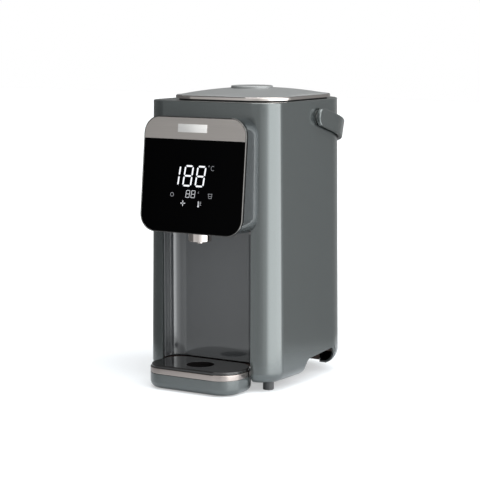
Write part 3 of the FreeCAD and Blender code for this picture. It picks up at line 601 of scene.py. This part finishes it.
def digit(width, height, thick, gap, lit):
    """Seven bars about the origin; lit names those that show, a to g."""
    side, end = (width - thick) / 2, (height - thick) / 2
    lying = width - thick - 2 * gap
    upright = end - 2 * gap
    quarter = math.pi / 2
    places = {
        "a": (0, end, 0, lying), "g": (0, 0, 0, lying), "d": (0, -end, 0, lying),
        "b": (side, end / 2, quarter, upright), "f": (-side, end / 2, quarter, upright),
        "c": (side, -end / 2, quarter, upright), "e": (-side, -end / 2, quarter, upright),
    }
    bars = []
    for name in lit:
        across, up, turn, length = places[name]
        bars.append(placed(pointed_bar(length + thick * BAR_STRETCH, thick), across, up, turn))
    return bars


def digit_row(name, digits, middle, width, height, thick, gap, light):
    """A row of digits that lean to the right about the row's own height."""
    lean = Matrix.Identity(4)
    lean[0][1] = SLANT
    lean[0][3] = -SLANT * middle
    bars = []
    for across, lit in digits:
        for bar in digit(width, height, thick, gap, lit):
            bars.append(placed(bar, across, middle))
    for bar in bars:
        bar.data.transform(lean)
    finish_marks(name, bars, light)


# The display's own marks, in millimetres on the panel

ALL_BARS = "abcdefg"
RIGHT_BARS = "bc"
LARGE_DIGITS = {
    "digits": ((-23.6, RIGHT_BARS), (-5.8, ALL_BARS), (11.5, ALL_BARS)),
    "middle": 67.6, "width": 12.6, "height": 24.9, "thick": 1.9, "gap": 1.0,
}
SMALL_DIGITS = {
    "digits": ((-5.0, ALL_BARS), (2.4, ALL_BARS)),
    "middle": 46.6, "width": 5.5, "height": 8.8, "thick": 0.6, "gap": 0.12,
}
DEGREE_PLACE = (22.6, 80.0)
DEGREE_RING = (0.9, 0.3)
LETTER_PLACE = (27.9, 77.7)
LETTER_RING = {"radius": 2.5, "thick": 0.42, "squash": 1.15, "gap_from": 1.3, "gap_half": 1.7}
FAN_PLACE = (-11.4, 35.4)
FAN_REACH = 2.0
PETALS = 4
PETAL_RADIUS = 0.95
PETAL_SHAPE = (1.55, 0.6, 1)
RING_ICON_PLACE = (-27.1, 44.9)
RING_ICON = (2.5, 0.6)
ARROW_ACROSS = 9.7
ARROW_BAR = (1.6, 0.4)
ARROW_TURN = 0.7
ARROW_LOWER, ARROW_UPPER = 48.3, 49.3
CUP_ACROSS = 26.1
CUP_RIM, CUP_LEVEL, CUP_WALLS, CUP_FOOT = 48.0, 45.2, 45.4, 42.9
CUP_HALF = 2.2
CUP_FLARE = 0.10
CUP_RIM_BAR, CUP_LEVEL_BAR, CUP_FOOT_BAR = (5.6, 0.55), (3.0, 0.5), (4.2, 0.5)
CUP_WALL_BAR = (0.5, 4.6)
GAUGE_ACROSS = 10.3
GAUGE_STEM, GAUGE_BULB = 36.0, 32.9
GAUGE_LEVELS = (37.9, 36.2, 34.5)
GAUGE_LEVELS_ACROSS = 13.0
GAUGE_STEM_BAR = (1.1, 5.2)
GAUGE_LEVEL_BAR = (1.9, 0.45)
GAUGE_BULB_RADIUS = 1.2
BRIGHT, MEDIUM, DIM = 1.05, 0.6, 0.2


def fan_petals():
    petals = []
    for number in range(PETALS):
        turn = number * 2 * math.pi / PETALS
        petal = disc_mark(PETAL_RADIUS)
        petal.scale = PETAL_SHAPE
        petals.append(placed(petal, FAN_PLACE[0] + FAN_REACH * math.cos(turn),
                             FAN_PLACE[1] + FAN_REACH * math.sin(turn), turn))
    return petals


def arrow_bars():
    return [
        placed(bar_mark(*ARROW_BAR), ARROW_ACROSS, ARROW_UPPER, ARROW_TURN),
        placed(bar_mark(*ARROW_BAR), ARROW_ACROSS, ARROW_LOWER, -ARROW_TURN),
    ]


def cup_bars():
    return [
        placed(bar_mark(*CUP_RIM_BAR), CUP_ACROSS, CUP_RIM),
        placed(bar_mark(*CUP_FOOT_BAR), CUP_ACROSS, CUP_FOOT),
        placed(bar_mark(*CUP_WALL_BAR), CUP_ACROSS - CUP_HALF, CUP_WALLS, CUP_FLARE),
        placed(bar_mark(*CUP_WALL_BAR), CUP_ACROSS + CUP_HALF, CUP_WALLS, -CUP_FLARE),
        placed(bar_mark(*CUP_LEVEL_BAR), CUP_ACROSS, CUP_LEVEL),
    ]


def gauge_marks():
    marks = [
        placed(bar_mark(*GAUGE_STEM_BAR), GAUGE_ACROSS, GAUGE_STEM),
        placed(disc_mark(GAUGE_BULB_RADIUS), GAUGE_ACROSS, GAUGE_BULB),
    ]
    for level in GAUGE_LEVELS:
        marks.append(placed(bar_mark(*GAUGE_LEVEL_BAR), GAUGE_LEVELS_ACROSS, level))
    return marks


def make_display():
    bright = glow_material("display_light", BRIGHT)
    medium = glow_material("display_medium_light", MEDIUM)
    dim = glow_material("display_dim_light", DIM)
    digit_row("display_digits", light=bright, **LARGE_DIGITS)
    digit_row("display_timer", light=medium, **SMALL_DIGITS)
    unit = [placed(ring_mark(*DEGREE_RING), *DEGREE_PLACE),
            placed(open_ring(**LETTER_RING), *LETTER_PLACE)]
    finish_marks("display_unit", unit, dim)
    finish_marks("display_fan", fan_petals(), medium)
    ring = placed(ring_mark(*RING_ICON), *RING_ICON_PLACE)
    finish_marks("display_icons", [ring] + arrow_bars() + cup_bars(), dim)
    finish_marks("display_gauge", gauge_marks(), medium)


# Plain bright plate on the strip

PLATE_SHARE = 0.29
PLATE_HEIGHT = 9.6
PLATE_ACROSS = -3.0
PLATE_UP = 123.0
PLATE_THICK = 0.5 * MM
PLATE_EDGE = 0.2 * MM


def make_name_plate():
    strip_width = (corner_high("panel_strip").x - corner_low("panel_strip").x) / MM
    plate = placed(bar_mark(PLATE_SHARE * strip_width, PLATE_HEIGHT), PLATE_ACROSS, PLATE_UP)
    plate.name = "name_plate"
    to_panel(plate)
    modify(plate, "SOLIDIFY", thickness=PLATE_THICK, offset=1.0)
    modify(plate, "BEVEL", width=PLATE_EDGE, segments=2, limit_method="ANGLE")
    bpy.ops.object.shade_smooth_by_angle(angle=SMOOTH_ANGLE)
    plate.data.materials.append(PLATE_METAL)
    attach(plate, "housing")


make_camera()
make_floor()
make_light()
finished = {node: dress(node, edge) for node, edge in EASED_EDGE.items()}
paint_rest(finished)
make_display()
make_name_plate()
sink_dome_rim(finished["lid_dome"])
deselect()
